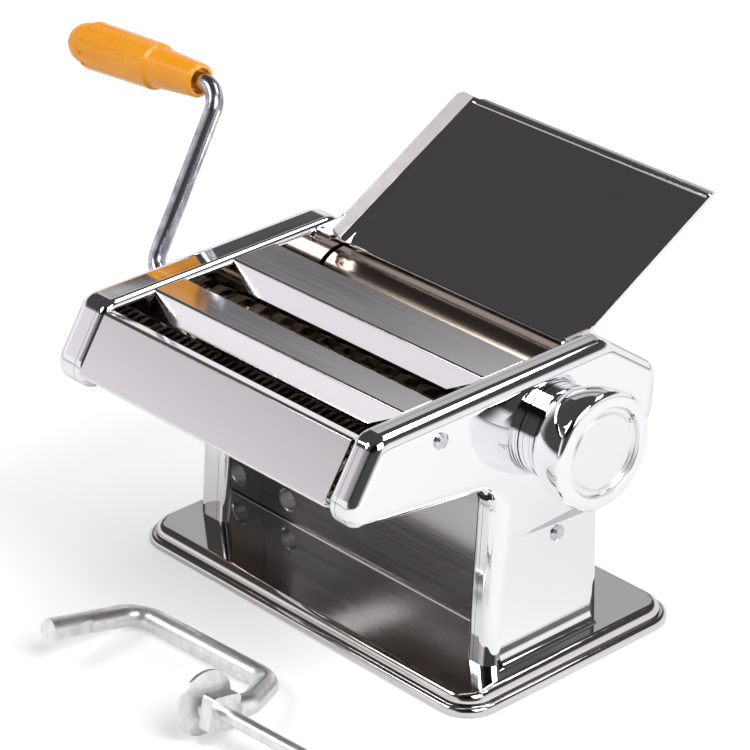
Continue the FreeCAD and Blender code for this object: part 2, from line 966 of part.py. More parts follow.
def rim_at(height, half_width):
    """Chooses the level edges of a slab at one height, out to its own width."""
    def chosen(edge):
        box = edge.BoundBox
        level = box.ZLength < 1e-4 and abs(box.ZMin - height.value) < 1e-4
        reach = max(abs(box.YMin), abs(box.YMax))
        long_side = abs(reach - half_width.value) < 1e-3
        return level and long_side
    return chosen


base_plate = new_body("base_plate")
slab(base_plate, flange_half_length, flange_half_width, mm.base_rim_z, mm.base_rim_height)
slab(base_plate, base_half_length, mm.base_half_width, mm.base_rim_z, mm.base_top_z - mm.base_rim_z)
round_edges(base_plate, upright(mm.base_rim_z, flange_top_z), mm.base_corner + mm.base_flange)
round_edges(base_plate, upright(flange_top_z, mm.base_top_z), mm.base_corner)
round_edges(base_plate, rim_at(mm.base_top_z, mm.base_half_width), mm.base_top_round)
round_edges(base_plate, rim_at(flange_top_z, flange_half_width), mm.base_flange_round)


def on_underside(face):
    box = face.BoundBox
    return box.ZLength < 1e-4 and abs(box.ZMin - mm.base_rim_z.value) < 1e-4


hollow(base_plate, on_underside, mm.base_steel)
leg_screw_x = (plate_out + frame_open) / 2
leg_screw_spots = [
    (side * leg_screw_x, end * mm.leg_screw_y + mm.leg_screw_shift) for side in (-1, 1) for end in (-1, 1)
]
sketch = new_sketch(base_plate, "XY_Plane")
for x, y in leg_screw_spots:
    circle(sketch, x, y, mm.screw_radius + mm.snug)
cut(base_plate, sketch)
for frame, side in ((left_frame, -1), (right_frame, 1)):
    sketch = new_sketch(frame, "XY_Plane", mm.base_top_z)
    for x, y in leg_screw_spots:
        if x.value * side > 0:
            circle(sketch, x, y, mm.screw_radius + mm.snug)
    cut(frame, sketch, mm.steel, True)
for body in (base_plate, left_frame, right_frame, left_cover, right_cover):
    keep(body)


def upright_steps(x, y, z):
    """Placement that stands a turned piece up, its own X axis along +Z."""
    return step(x, y, z, Y_AXIS, -90)


foot_x = base_half_length - mm.foot_inset_x
foot_y = mm.base_half_width - mm.foot_inset_y
feet = []
for number, (end, side) in enumerate([(-1, -1), (1, -1), (1, 1), (-1, 1)], 1):
    profile = [
        (0, 0),
        (0, mm.foot_radius - mm.foot_chamfer),
        (mm.foot_chamfer, mm.foot_radius),
        (base_under_z, mm.foot_radius),
        (base_under_z, 0),
    ]
    feet.append(turned(f"base_foot_{number}", profile, upright_steps(end * foot_x, side * foot_y, 0)))
group("base_feet", feet)

leg_screws = []
for number, (x, y) in enumerate(leg_screw_spots, 1):
    head = -mm.screw_head_height
    tail = mm.base_steel + mm.steel + mm.leg_screw_past
    profile = [
        (head, 0),
        (head, mm.leg_screw_head),
        (0, mm.leg_screw_head),
        (0, mm.screw_radius),
        (tail, mm.screw_radius),
        (tail, 0),
    ]
    leg_screws.append(turned(f"leg_screw_{number}", profile, upright_steps(x, y, base_under_z)))
group("leg_screws", leg_screws)


# Screws, ties and bushes that hold the sides.

def mirrored(profile, side):
    return [(side * x, radius) for x, radius in profile]


cover_screws = []
for number, (side, spot) in enumerate([(s, p) for s in (-1, 1) for p in cover_screw_spots], 1):
    tail = half_gap + mm.screw_tail_gap
    seat = left_far if side < 0 else cover_far
    dome = seat + mm.screw_head_height
    profile = [
        (tail, 0),
        (tail, mm.screw_radius),
        (seat, mm.screw_radius),
        (seat, mm.screw_head),
        (seat + mm.screw_head_edge, mm.screw_head),
        (dome, mm.screw_head_top),
        (dome, 0),
    ]
    cover_screws.append(turned(f"cover_screw_{number}", mirrored(profile, side), on_axis(spot)))
group("cover_screws", cover_screws)

tie_end = plate_out + mm.tie_nut_width + mm.tie_past
tie_rods = []
tie_nuts = []
for number, spot in enumerate(ties, 1):
    profile = [(-tie_end, 0), (-tie_end, mm.tie_radius), (tie_end, mm.tie_radius), (tie_end, 0)]
    tie_rods.append(turned(f"tie_rod_{number}", profile, on_axis(spot)))
    for side in (-1, 1):
        nut = new_body(f"tie_nut_{number}_{'left' if side < 0 else 'right'}", on_axis(spot))
        start = plate_out if side > 0 else -plate_out - mm.tie_nut_width
        sketch = new_sketch(nut, "YZ_Plane", start)
        outline(sketch, regular(NUT_SIDES, mm.tie_nut_radius))
        circle(sketch, 0, 0, mm.tie_radius + mm.snug)
        pad(nut, sketch, mm.tie_nut_width)
        tie_nuts.append(nut)
group("tie_rods", tie_rods)
group("tie_nuts", tie_nuts)


def bush(label, side, axis, journal):
    near = side * bush_near
    far = side * bush_far
    inner = journal + mm.running
    return tube(label, near, far, inner, journal + mm.bush_wall, on_axis(axis))


group("drive_bushes", [
    bush("drive_bush_left", -1, drive_axis, mm.socket_radius),
    bush("drive_bush_right", 1, drive_axis, mm.drive_journal),
])
cover_bush = tube(
    "axle_bush_left", -left_inside + mm.cover_bush_in, -left_far, mm.axle_radius + mm.running,
    mm.axle_radius + mm.bush_wall, on_axis(knob_axis),
)
group("axle_bushes", [cover_bush, bush("axle_bush_right", 1, knob_axis, mm.axle_radius)])
for name, rear, front in (("wide", wide_rear, wide_front), ("narrow", narrow_rear, narrow_front)):
    group(f"{name}_bushes", [
        bush(f"{name}_bush_rear_left", -1, rear, mm.socket_radius),
        bush(f"{name}_bush_rear_right", 1, rear, mm.cutter_journal),
        bush(f"{name}_bush_front_left", -1, front, mm.cutter_journal),
        bush(f"{name}_bush_front_right", 1, front, mm.cutter_journal),
    ])


# Sheet parts between the sides.

panel_width = panel_half * 2
front_panel = bent_sheet(new_body("front_panel"), [
    (mm.panel_top_y + mm.panel_lip_y, mm.panel_top_z - mm.panel_lip_z),
    (mm.panel_top_y, mm.panel_top_z),
    (mm.panel_low_y, mm.panel_low_z),
    (mm.panel_low_y + mm.panel_toe_y, mm.panel_low_z - mm.panel_toe_z),
], mm.panel_steel, panel_width)
keep(front_panel)


def hood(label, back_y, fold_y, foot_y):
    """Folded guide that leads down into a cutter slot, its lower corners cut away."""
    body = bent_sheet(new_body(label), [
        (back_y, mm.hood_back_z),
        (fold_y, mm.hood_top_z),
        (foot_y, mm.hood_foot_z),
    ], mm.panel_steel, panel_width)
    sketch = new_sketch(body, "XZ_Plane")
    low = mm.hood_foot_z - mm.panel_steel * 2
    high = mm.hood_back_z - mm.panel_steel - mm.hood_notch_gap
    for side in (-1, 1):
        outline(sketch, [
            (side * (panel_half - mm.hood_notch), low),
            (side * panel_half, high),
            (side * (panel_half + mm.panel_steel), high),
            (side * (panel_half + mm.panel_steel), low),
        ])
    cut(body, sketch)
    return keep(body)


hood("front_hood", mm.front_hood_back_y, mm.front_hood_y, mm.front_hood_foot_y)
hood("rear_hood", mm.rear_hood_back_y, mm.rear_hood_y, mm.rear_hood_foot_y)

stand_panel = bent_sheet(new_body("stand_panel"), [
    (mm.stand_y, mm.stand_top_z),
    (mm.stand_y, mm.base_top_z),
    (mm.stand_y + mm.stand_flange, mm.base_top_z),
], mm.panel_steel, panel_width)
sketch = new_sketch(stand_panel, "XZ_Plane")
circle(sketch, mm.clamp_hole_x, mm.clamp_hole_z, mm.clamp_hole + mm.clamp_hole_ease)
cut(stand_panel, sketch)
keep(stand_panel)

socket_back = mm.stand_y + mm.panel_steel
clamp_socket = keep(tube(
    "clamp_socket", 0, mm.clamp_socket_length, mm.clamp_hole, mm.clamp_hole + mm.clamp_socket_wall,
    step(mm.clamp_hole_x, socket_back, mm.clamp_hole_z, Z_AXIS, 90),
))

# The tray rests on the rear panel's upper edge.
slope_cos = cosine(mm.tray_slope)
slope_sin = sine(mm.tray_slope)
rest_along = mm.tray_start + mm.rear_rest
rest_under = mm.tray_drop + mm.tray_steel + mm.scraper_gap
rear_top = (
    mm.tray_pivot_y + rest_along * slope_cos + rest_under * slope_sin,
    mm.tray_pivot_z + rest_along * slope_sin - rest_under * slope_cos,
)
rear_panel = keep(bent_sheet(new_body("rear_panel"), [
    (mm.rear_low_y, mm.rear_low_z),
    (mm.rear_bend_y, mm.rear_bend_z),
    rear_top,
], mm.panel_steel, panel_width))


def scraper(label, axis, reach, angle):
    """Straight blade that clears a roller by a small gap and runs away from it."""
    body = new_body(label, step(0, axis[0], axis[1], X_AXIS, angle))
    sketch = new_sketch(body, "YZ_Plane")
    half = mm.panel_steel / 2
    outline(sketch, [
        (reach, -half),
        (reach + mm.scraper_length, -half),
        (reach + mm.scraper_length, half),
        (reach, half),
    ])
    pad(body, sketch, panel_width, both_ways=True)
    return body


drive_reach = mm.roller_radius + mm.scraper_gap
group("roller_scrapers", [
    scraper("drive_scraper", drive_axis, drive_reach, mm.drive_scraper_angle),
    scraper("adjust_scraper", knob_axis, drive_reach + mm.eccentric, mm.adjust_scraper_angle),
])


# Shafts with a crank socket at the left end. Their cross pins stand in line with the crank arm.

def lean_with_crank(axis):
    return step(0, axis[0], axis[1], X_AXIS, -mm.crank_lean)


def socketed(label, right_profile, axis):
    """Turned shaft whose left end is bored, broached square and drilled for a cross pin."""
    profile = [
        (-socket_end, mm.socket_bore),
        (-socket_end, mm.socket_radius),
        (-roller_half, mm.socket_radius),
    ]
    profile += right_profile
    profile += [
        (-socket_neck, 0),
        (-socket_neck, mm.socket_bore),
    ]
    body = turned(label, profile, lean_with_crank(axis))
    sketch = new_sketch(body, "YZ_Plane", -socket_neck)
    outline(sketch, regular(4, mm.socket_inner * math.sqrt(2)))
    cut(body, sketch, socket_neck - socket_floor, True)
    sketch = new_sketch(body, "XY_Plane")
    circle(sketch, -cross_pin_x, 0, mm.cross_pin + mm.snug)
    cut(body, sketch)
    return body


def cross_pin(label, axis):
    """Pin across a crank socket, just inside the shaft's skin."""
    pin_half = mm.socket_radius - mm.cross_pin_inset
    thing = doc.addObject("Part::Cylinder", label)
    thing.Label = label
    bind(thing, "Radius", mm.cross_pin)
    bind(thing, "Height", pin_half * 2)
    thing.setExpression("Placement", " * ".join([lean_with_crank(axis), step(-cross_pin_x, 0, -pin_half)]))
    return keep(thing)


journal_end = bush_far + mm.journal_past
drive_roller = keep(socketed("drive_roller", [
    (-roller_half, mm.roller_radius),
    (roller_half, mm.roller_radius),
    (roller_half, mm.drive_journal),
    (journal_end, mm.drive_journal),
    (journal_end, 0),
], drive_axis))
cross_pin("drive_socket_pin", drive_axis)


# Eccentric axle, its sleeve and the roller that it moves.

knob_end = cover_far + mm.index_gap + mm.index_width + mm.knob_gap + mm.knob_length
knob_near = knob_end - mm.knob_length
disc_near = knob_end - mm.knob_recess - mm.knob_disc_sheet
hub_far = knob_near + mm.knob_hub
washer_near = hub_far + mm.sheet_clear * 2 + mm.spring_length
washer_far = washer_near + mm.knob_washer_sheet
axle_right = washer_far + mm.axle_past
axle_left = left_far - mm.axle_inset
eccentric_left = roller_gear_far + mm.eccentric_past_gear
eccentric_right = roller_half - mm.eccentric_inset
thickness_axle = turned("thickness_axle", [
    (-axle_left, 0),
    (-axle_left, mm.axle_radius),
    (axle_right, mm.axle_radius),
    (axle_right, 0),
], on_axis(knob_axis))
sketch = new_sketch(thickness_axle, "YZ_Plane", -eccentric_left)
circle(sketch, -mm.eccentric, 0, eccentric_radius)
pad(thickness_axle, sketch, eccentric_left + eccentric_right)
keep(thickness_axle)

sleeve_left = eccentric_left - mm.sleeve_inset
sleeve_right = eccentric_right - mm.sleeve_inset
keep(tube("roller_sleeve", -sleeve_left, sleeve_right, eccentric_radius + mm.running,
          sleeve_radius, on_axis(rest_axis)))
roller_bore = sleeve_radius + mm.running
neck_end = roller_gear_far + mm.gear_past
keep(turned("adjust_roller", [
    (-neck_end, roller_bore),
    (-neck_end, neck_radius),
    (-roller_half, neck_radius),
    (-roller_half, mm.roller_radius),
    (roller_half, mm.roller_radius),
    (roller_half, roller_bore),
], on_axis(rest_axis)))


# Gears with straight-flanked teeth.

def gear(label, start, width, axis, kind, pitch_radius, bore, phase):
    """Spur gear: one tooth repeated round a root disc, turned by the phase angle."""
    teeth = getattr(mm, f"{kind}_teeth")
    module = pitch_radius * 2 / teeth
    tooth = module * getattr(mm, f"{kind}_tooth")
    tip = pitch_radius + module * getattr(mm, f"{kind}_addendum")
    root = pitch_radius - module * getattr(mm, f"{kind}_dedendum")
    body = new_body(label, step(start, axis[0], axis[1], X_AXIS, phase))
    sketch = new_sketch(body, "YZ_Plane")
    circle(sketch, 0, 0, root)
    circle(sketch, 0, 0, bore + mm.snug)
    pad(body, sketch, width)
    sketch = new_sketch(body, "YZ_Plane")
    half = tooth / 2
    foot_half = half + (pitch_radius - root) * mm.flank_slope
    tip_half = half - (tip - pitch_radius) * mm.flank_slope
    inside = (root + bore) / 2
    outline(sketch, [
        (inside, -foot_half),
        (root + mm.tooth_foot, -foot_half),
        (tip, -tip_half),
        (tip, tip_half),
        (root + mm.tooth_foot, foot_half),
        (inside, foot_half),
    ])
    made = pad(body, sketch, width)
    repeat_round(body, made, teeth)
    return keep(body)


half_tooth_turn = Size(180.0, "180") / mm.roller_teeth
for name, axis, bore, phase in (
    ("drive_gear", drive_axis, mm.socket_radius, half_tooth_turn),
    ("adjust_gear", rest_axis, neck_radius, 0),
):
    gear(name, -roller_gear_far, mm.roller_gear_width, axis, "roller", roller_pitch, bore, phase)


# Cutters: rings in step with each other, combs between the rings.

def add_rings(body, pitch, width, count):
    sketch = new_sketch(body, "YZ_Plane", -roller_half)
    outline(sketch, regular(CORE_SIDES, mm.core_radius))
    pad(body, sketch, roller_half * 2)
    first = pitch * (count - 1) / -2 - width / 2
    sketch = new_sketch(body, "YZ_Plane", first)
    outline(sketch, regular(RING_SIDES, mm.ring_radius))
    made = pad(body, sketch, width)
    repeat_along(body, made, pitch, count)
    return keep(body)


def cutter_pair(name, rear_axis, front_axis, pitch, width, rear_count, front_count):
    far = cutter_gear_far + mm.gear_past
    right_end = [(far, mm.cutter_journal), (far, 0)]
    rear = socketed(f"{name}_rear_cutter", [(-roller_half, mm.cutter_journal), *right_end], rear_axis)
    add_rings(rear, pitch, width, rear_count)
    front = turned(f"{name}_front_cutter", [
        (-journal_end, 0),
        (-journal_end, mm.cutter_journal),
        *right_end,
    ], on_axis(front_axis))
    add_rings(front, pitch, width, front_count)
    cross_pin(f"{name}_socket_pin", rear_axis)
    half_turn = Size(180.0, "180") / mm.cutter_teeth
    for place, axis, phase in (("rear", rear_axis, half_turn), ("front", front_axis, 0)):
        gear(f"{name}_{place}_gear", gear_near, mm.cutter_gear_width, axis, "cutter", cutter_pitch,
             mm.cutter_journal, phase)


def comb(label, axis, lean, pitch, finger, count):
    """Bar across the machine with a finger in every gap of a cutter."""
    body = new_body(label, step(0, axis[0], axis[1], X_AXIS, lean))
    top = -mm.ring_radius - mm.comb_gap
    half = mm.comb_bar / 2
    sketch = new_sketch(body, "YZ_Plane")
    outline(sketch, [(-half, top - mm.comb_sheet), (half, top - mm.comb_sheet), (half, top), (-half, top)])
    pad(body, sketch, panel_width, both_ways=True)
    first = (pitch * (count - 2) + finger) / -2
    sketch = new_sketch(body, "YZ_Plane", first)
    half = mm.comb_sheet / 2
    reach = -mm.core_radius - mm.comb_finger_gap
    root = top - mm.comb_root
    outline(sketch, [(-half, root), (half, root), (half, reach), (-half, reach)])
    made = pad(body, sketch, finger)
    repeat_along(body, made, pitch, count - 1)
    return body


narrow_count = whole((roller_half * 2 - mm.narrow_ring) / mm.narrow_pitch) + 1
wide_count = whole((roller_half * 2 - mm.wide_ring) / mm.wide_pitch) + 1
cutter_pair("wide", wide_rear, wide_front, mm.wide_pitch, mm.wide_ring, wide_count, wide_count - 1)
cutter_pair("narrow", narrow_rear, narrow_front, mm.narrow_pitch, mm.narrow_ring,
            narrow_count - 1, narrow_count)
group("wide_combs", [
    comb("wide_comb_rear", wide_rear, mm.comb_lean, mm.wide_pitch, mm.wide_finger, wide_count),
    comb("wide_comb_front", wide_front, -mm.comb_lean, mm.wide_pitch, mm.wide_finger, wide_count - 1),
])
group("narrow_combs", [
    comb("narrow_comb_rear", narrow_rear, mm.comb_lean, mm.narrow_pitch, mm.narrow_finger, narrow_count - 1),
    comb("narrow_comb_front", narrow_front, -mm.comb_lean, mm.narrow_pitch, mm.narrow_finger, narrow_count),
])


# Thickness knob: pull, turn, let go.

index_near = cover_far + mm.index_gap
index_far = index_near + mm.index_width
track_floor = index_far - mm.track_depth
track_in = mm.index_track - mm.track_half
track_out = mm.index_track + mm.track_half
keep(turned("index_ring", [
    (index_near, mm.axle_radius + mm.bush_wall),
    (index_near, mm.index_radius),
    (index_far, mm.index_radius),
    (index_far, track_out),
    (track_floor, track_out),
    (track_floor, track_in),
    (index_far, track_in),
    (index_far, mm.axle_radius + mm.bush_wall),
], on_axis(knob_axis)))

groove_spots = [knob_near + mm.first_groove, knob_near + mm.second_groove]
knob_skin = [(knob_near, mm.axle_radius + mm.running), (knob_near, mm.knob_root)]
for spot in groove_spots:
    knob_skin += [
        (spot, mm.knob_root),
        (spot, mm.knob_root - mm.knob_groove),
        (spot + mm.knob_groove_width, mm.knob_root - mm.knob_groove),
        (spot + mm.knob_groove_width, mm.knob_root),
    ]
knob_skin += [
    (knob_near + mm.knob_foot, mm.knob_root),
    (knob_near + mm.knob_foot, mm.knob_waist),
    Through((knob_near + mm.knob_middle_x, mm.knob_middle)),
    (knob_end - mm.knob_rim_back, mm.knob_rim),
    Through((knob_end - mm.knob_lip_back, mm.knob_lip)),
    (knob_end, mm.knob_front),
    (knob_end, mm.knob_disc + mm.snug),
    (disc_near, mm.knob_disc + mm.snug),
    (disc_near, mm.knob_hollow),
    (hub_far, mm.knob_hollow),
    (hub_far, mm.axle_radius + mm.running),
]
knob_shell = turned("knob_shell", knob_skin, on_axis(knob_axis))
pin_hole = mm.index_pin + mm.snug
sketch = new_sketch(knob_shell, "YZ_Plane", knob_near)
circle(sketch, 0, mm.index_track, pin_hole)
cut(knob_shell, sketch, mm.knob_hub, True)
keep(knob_shell)
disc_far = knob_end - mm.knob_recess
keep(turned("knob_face", [
    (disc_near, 0),
    (disc_near, mm.knob_disc),
    (disc_far - mm.disc_edge, mm.knob_disc),
    (disc_far, mm.knob_disc - mm.disc_edge_width),
    (disc_far, mm.face_ring + mm.face_ring_half),
    (disc_far - mm.face_ring_depth, mm.face_ring),
    (disc_far, mm.face_ring - mm.face_ring_half),
    (disc_far, 0),
], on_axis(knob_axis)))
keep(turned("index_pin", [
    (track_floor + mm.index_pin_gap, 0),
    (track_floor + mm.index_pin_gap, mm.index_pin),
    (hub_far, mm.index_pin),
    (hub_far, 0),
], step(0, mm.knob_y, mm.roller_z + mm.index_track)))
keep(tube("knob_washer", washer_near, washer_far, mm.axle_radius + mm.snug, mm.knob_washer,
          on_axis(knob_axis)))

knob_spring = new_body("knob_spring", step(hub_far + mm.sheet_clear, *knob_axis))
sketch = new_sketch(knob_spring, "XY_Plane")
wire = regular(4, mm.spring_wire)
outline(sketch, [(mm.spring_wire + a, mm.spring_radius + b) for a, b in wire])
coil = feature(knob_spring, "AdditiveHelix", sketch)
coil.ReferenceAxis = (sketch, ["H_Axis"])
coil.Mode = "height-turns-angle"
bind(coil, "Height", mm.spring_length - mm.spring_wire * 2)
bind(coil, "Turns", mm.spring_turns)
doc.recompute()
keep(knob_spring)


# Dough tray: its own Y axis runs up the slope, its own Z axis is square to the plate.

tray_end = mm.tray_start + mm.tray_length
tray_half_width = half_gap - mm.tray_side_gap
tray_inside = tray_half_width - mm.tray_steel
tray_under = -mm.tray_drop - mm.tray_steel
flange_top = -mm.tray_flange_drop
flange_end = tray_end - mm.tray_flange_back
dough_tray = new_body("dough_tray", step(0, *tray_pivot, X_AXIS, mm.tray_slope))
sketch = new_sketch(dough_tray, "YZ_Plane")
tray_bends = bent_profile(sketch, [
    (mm.tray_start, tray_under),
    (tray_end, tray_under),
    (tray_end + mm.tray_brow_out, tray_under - mm.tray_brow_drop),
], mm.tray_steel)
pad(dough_tray, sketch, tray_half_width * 2, both_ways=True)
for outside, inside in tray_bends:
    round_edges(dough_tray, along_x_at([outside]), mm.tray_brow_round + mm.tray_steel)
    round_edges(dough_tray, along_x_at([inside]), mm.tray_brow_round)
for offset in (-tray_half_width, tray_inside):
    sketch = new_sketch(dough_tray, "YZ_Plane", offset)
    outline(sketch, [
        (0, mm.tray_ear),
        (mm.tray_ear_reach, flange_top),
        (flange_end, flange_top),
        (flange_end, tray_under),
        (mm.tray_start, tray_under),
        (0, -mm.tray_ear),
        Through((-mm.tray_ear, 0)),
    ])
    pad(dough_tray, sketch, mm.tray_steel)
round_edges(dough_tray, along_x_at([(flange_end, flange_top)]), mm.tray_flange_round)


def in_tray_corner(edge):
    """True for the two edges where the plate meets a flange on the inside."""
    middle = edge.BoundBox.Center
    beside = abs(abs(middle.x) - tray_inside.value) < 1e-3
    return beside and abs(middle.z + mm.tray_drop.value) < 1e-3 and runs_along(edge, 1)


round_edges(dough_tray, in_tray_corner, mm.tray_bend)
sketch = new_sketch(dough_tray, "YZ_Plane")
circle(sketch, 0, 0, mm.tray_pin + mm.running)
cut(dough_tray, sketch)
keep(dough_tray)

head_far = tray_inside - mm.scraper_gap
head_near = head_far - mm.tray_pin_head_sheet
tray_pins = []
for side, name in ((-1, "left"), (1, "right")):
    profile = [
        (head_near, 0),
        (head_near, mm.tray_pin_head),
        (head_far, mm.tray_pin_head),
        (head_far, mm.tray_pin),
        (plate_out + mm.tray_pin_past, mm.tray_pin),
        (plate_out + mm.tray_pin_past, 0),
    ]
    tray_pins.append(turned(f"tray_pin_{name}", mirrored(profile, side), on_axis(tray_pivot)))
group("tray_pins", tray_pins)


# Crank: bent rod in the wide cutter's socket, its grip free to turn on the far end.

arm_x = -(left_far + mm.crank_plane)
crank_inner = -(socket_floor + mm.crank_seat)
crank_turn = lean_with_crank(wide_rear)
grip_turn = step(arm_x, 0, mm.crank_throw, Y_AXIS, -mm.grip_tilt)
grip_far = mm.grip_start + mm.grip_step + mm.grip_body + mm.grip_end
spindle_end = grip_far - mm.spindle_short
crank_rod = new_body("crank_rod", crank_turn)
path = new_sketch(crank_rod, "XZ_Plane")
rounded_path(path, [
    (crank_inner, 0),
    (arm_x, 0),
    (arm_x, mm.crank_throw),
    (arm_x - spindle_end * cosine(mm.grip_tilt), mm.crank_throw - spindle_end * sine(mm.grip_tilt)),
], mm.crank_bend)
section = new_sketch(crank_rod, "YZ_Plane", crank_inner)
circle(section, 0, 0, mm.crank_radius)
sweep(crank_rod, section, path)
slot_end = -(cross_pin_x + mm.crank_slot + mm.crank_slot_gap)
slot_mouth = crank_inner + mm.crank_seat
sketch = new_sketch(crank_rod, "XY_Plane")
outline(sketch, [
    (slot_end, -mm.crank_slot),
    (slot_mouth, -mm.crank_slot),
    (slot_mouth, mm.crank_slot),
    (slot_end, mm.crank_slot),
])
slot = feature(crank_rod, "Pocket", sketch)
slot.SideType = "Symmetric"
bind(slot, "Length", mm.crank_radius * 2 + mm.crank_seat)
doc.recompute()
keep(crank_rod)

grip_bore = mm.crank_radius + mm.running
step_x = -(mm.grip_start + mm.grip_step)
body_x = step_x - mm.grip_body
crank_grip = turned("crank_grip", [
    (-mm.grip_start - mm.grip_recess_depth, grip_bore),
    (-mm.grip_start - mm.grip_recess_depth, mm.grip_recess),
    (-mm.grip_start, mm.grip_recess),
    (-mm.grip_start, mm.grip_near - mm.grip_chamfer),
    (-mm.grip_start - mm.grip_chamfer, mm.grip_near),
    (step_x, mm.grip_neck),
    (step_x - mm.grip_shoulder, mm.grip_low),
    (body_x + mm.grip_shoulder, mm.grip_high),
    (body_x, mm.grip_end_radius + mm.grip_end_step),
    (body_x - mm.grip_chamfer, mm.grip_end_radius),
    Through((body_x - mm.grip_butt_x, mm.grip_butt)),
    (-grip_far, mm.grip_tip),
    (-grip_far, 0),
    (-spindle_end - mm.grip_washer_gap, 0),
    (-spindle_end - mm.grip_washer_gap, mm.grip_washer + mm.running),
    (-spindle_end + mm.grip_washer_room, mm.grip_washer + mm.running),
    (-spindle_end + mm.grip_washer_room, grip_bore),
], crank_turn, grip_turn)
sketch = new_sketch(crank_grip, "YZ_Plane", body_x + mm.flute_end)
circle(sketch, 0, mm.grip_high + mm.flute_lift, mm.flute_radius)
flute = cut(crank_grip, sketch, mm.grip_body - mm.flute_end * 2, True)
repeat_round(crank_grip, flute, mm.flutes)
keep(crank_grip)
washer_x = -spindle_end + mm.grip_washer_x
keep(tube("grip_washer", washer_x, washer_x + mm.grip_washer_sheet, mm.crank_radius + mm.snug,
          mm.grip_washer, crank_turn, grip_turn))


# Table clamp: bent rod, threaded plate, screw, swivel pad and crossbar.

clamp_turn = [
    step(mm.clamp_x, mm.clamp_y, mm.clamp_z, Z_AXIS, mm.clamp_yaw),
    step(0, 0, 0, X_AXIS, 180 - mm.clamp_tilt),
]
nut_a = mm.clamp_back + mm.clamp_flare
screw_b = mm.clamp_rod_top + mm.nut_height / 2
clamp_rod = new_body("clamp_rod", *clamp_turn)
path = new_sketch(clamp_rod, "XY_Plane")
rounded_path(path, [
    (-mm.clamp_jaw_lean, mm.clamp_jaw),
    (0, 0),
    (mm.clamp_back, 0),
    (nut_a, mm.clamp_rise),
    (nut_a, mm.clamp_rod_top),
], mm.clamp_bend)
section = new_sketch(clamp_rod, "XZ_Plane", -mm.clamp_rod_top)
circle(section, nut_a, 0, mm.clamp_rod)
sweep(clamp_rod, section, path)
notch_top = mm.clamp_jaw - mm.clamp_notch
sketch = new_sketch(clamp_rod, "XY_Plane")
notch_a = mm.clamp_rod - mm.clamp_notch_depth - mm.clamp_notch_lean
outline(sketch, [
    (notch_a, notch_top),
    (notch_a, notch_top - mm.clamp_notch_length),
    (mm.clamp_rod + mm.clamp_notch_past, notch_top - mm.clamp_notch_length),
    (mm.clamp_rod + mm.clamp_notch_past, notch_top),
])
cut(clamp_rod, sketch)
keep(clamp_rod)

clamp_nut = new_body("clamp_nut", *clamp_turn)
sketch = new_sketch(clamp_nut, "YZ_Plane", nut_a - mm.nut_plate / 2)
outline(sketch, [
    (mm.clamp_rod_top, -mm.nut_half_width),
    (mm.clamp_rod_top + mm.nut_height, -mm.nut_half_width),
    (mm.clamp_rod_top + mm.nut_height, mm.nut_half_width),
    (mm.clamp_rod_top, mm.nut_half_width),
])
circle(sketch, screw_b, 0, mm.clamp_screw + mm.running)
pad(clamp_nut, sketch, mm.nut_plate)


def is_nut_corner(edge):
    return runs_along(edge, 0)


round_edges(clamp_nut, is_nut_corner, mm.nut_corner)
keep(clamp_nut)

screw_line = step(0, screw_b, 0)
hub_back = nut_a - mm.nut_plate / 2 - mm.pad_back_gap
hub_front = hub_back - mm.pad_hub_length
screw_tip = hub_front + mm.pad_cup
screw_end = screw_tip + mm.clamp_screw_length
head_start = screw_end - mm.clamp_head_length
bar_a = head_start + mm.clamp_head_length / 2
clamp_screw = turned("clamp_screw", [
    (screw_tip, 0),
    (screw_tip, mm.clamp_screw),
    (head_start, mm.clamp_screw),
    (head_start, mm.clamp_head),
    (screw_end, mm.clamp_head),
    (screw_end, 0),
], *clamp_turn, screw_line)
sketch = new_sketch(clamp_screw, "XZ_Plane")
circle(sketch, bar_a, 0, mm.crossbar + mm.snug)
cut(clamp_screw, sketch)
keep(clamp_screw)
keep(turned("clamp_pad", [
    (hub_front - mm.pad_crown, 0),
    (hub_front - mm.pad_dish, mm.pad_radius),
    (hub_front - mm.pad_dish + mm.pad_sheet, mm.pad_radius),
    (hub_front + mm.pad_sheet - mm.pad_crown, mm.pad_hub + mm.pad_fillet),
    (hub_back, mm.pad_hub),
    (hub_back, mm.clamp_screw + mm.running),
    (screw_tip - mm.sheet_clear, mm.clamp_screw + mm.running),
    (screw_tip - mm.sheet_clear, 0),
], *clamp_turn, screw_line))
bar_half = mm.crossbar_length / 2
bar_turn = step(bar_a, -bar_half, 0, X_AXIS, -90)
crossbar = doc.addObject("Part::Cylinder", "clamp_crossbar")
crossbar.Label = "clamp_crossbar"
bind(crossbar, "Radius", mm.crossbar)
bind(crossbar, "Height", mm.crossbar_length)
crossbar.setExpression("Placement", " * ".join([*clamp_turn, screw_line, bar_turn]))
keep(crossbar)


# Every piece is checked before any is written.

doc.recompute()
for thing in doc.Objects:
    troubles = [state for state in thing.State if state in ("Invalid", "Error")]
    require(not troubles, f"{thing.Label} did not build")
for thing in nodes:
    require(not thing.Shape.isNull() and thing.Shape.isValid(), f"{thing.Label} has no sound shape")
    require(thing.Shape.Solids, f"{thing.Label} holds no solid")
for thing in nodes:
    thing.Shape.exportStep(f"parts/{thing.Label}.step")
    box = thing.Shape.BoundBox
    spans = f"{box.XLength:.1f} x {box.YLength:.1f} x {box.ZLength:.1f} mm"
    print(f"{thing.Label}: {len(thing.Shape.Solids)} solids, {thing.Shape.Volume:.1f} mm3, {spans}")
print(len(nodes), "nodes")
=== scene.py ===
import bpy
import math
from mathutils import Matrix, Vector


